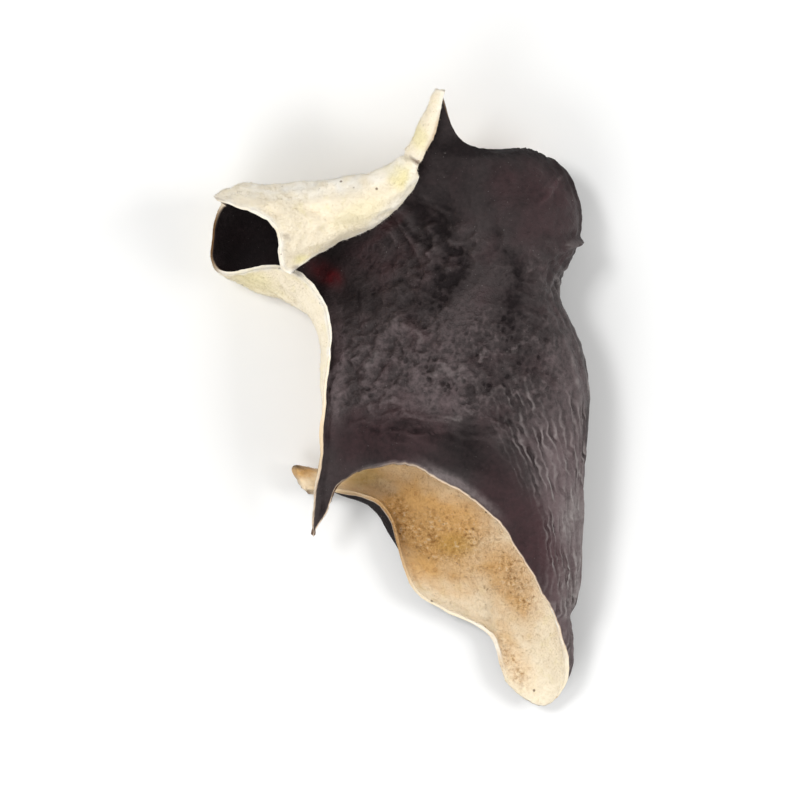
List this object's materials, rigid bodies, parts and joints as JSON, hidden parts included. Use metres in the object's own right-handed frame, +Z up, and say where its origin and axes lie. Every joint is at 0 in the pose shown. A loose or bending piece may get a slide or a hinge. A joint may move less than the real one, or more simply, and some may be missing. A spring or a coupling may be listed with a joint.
{
  "type": "dried wood ear mushroom",
  "caption": "Dried wood ear mushroom: a thin, leathery dark sheet folded over on itself, with a pale felted inner face and one corner rolled into a small horn.",
  "frame": {"origin": "on the table, under the middle of the piece's bounding box", "axes": "+Z up from the table it rests on; +Y along the piece's length, from the open spoon-like end towards the thin spike; +X across, towards the folded side, away from the horn's mouth"},
  "size_m": [0.0352, 0.0578, 0.015],
  "materials": {
    "skin": "dry, wrinkled, dull sheen outside; pale matte felt inside the fold"
  },
  "bodies": {
    "root": {"wood_ear": "skin"}
  },
  "joints": []
}
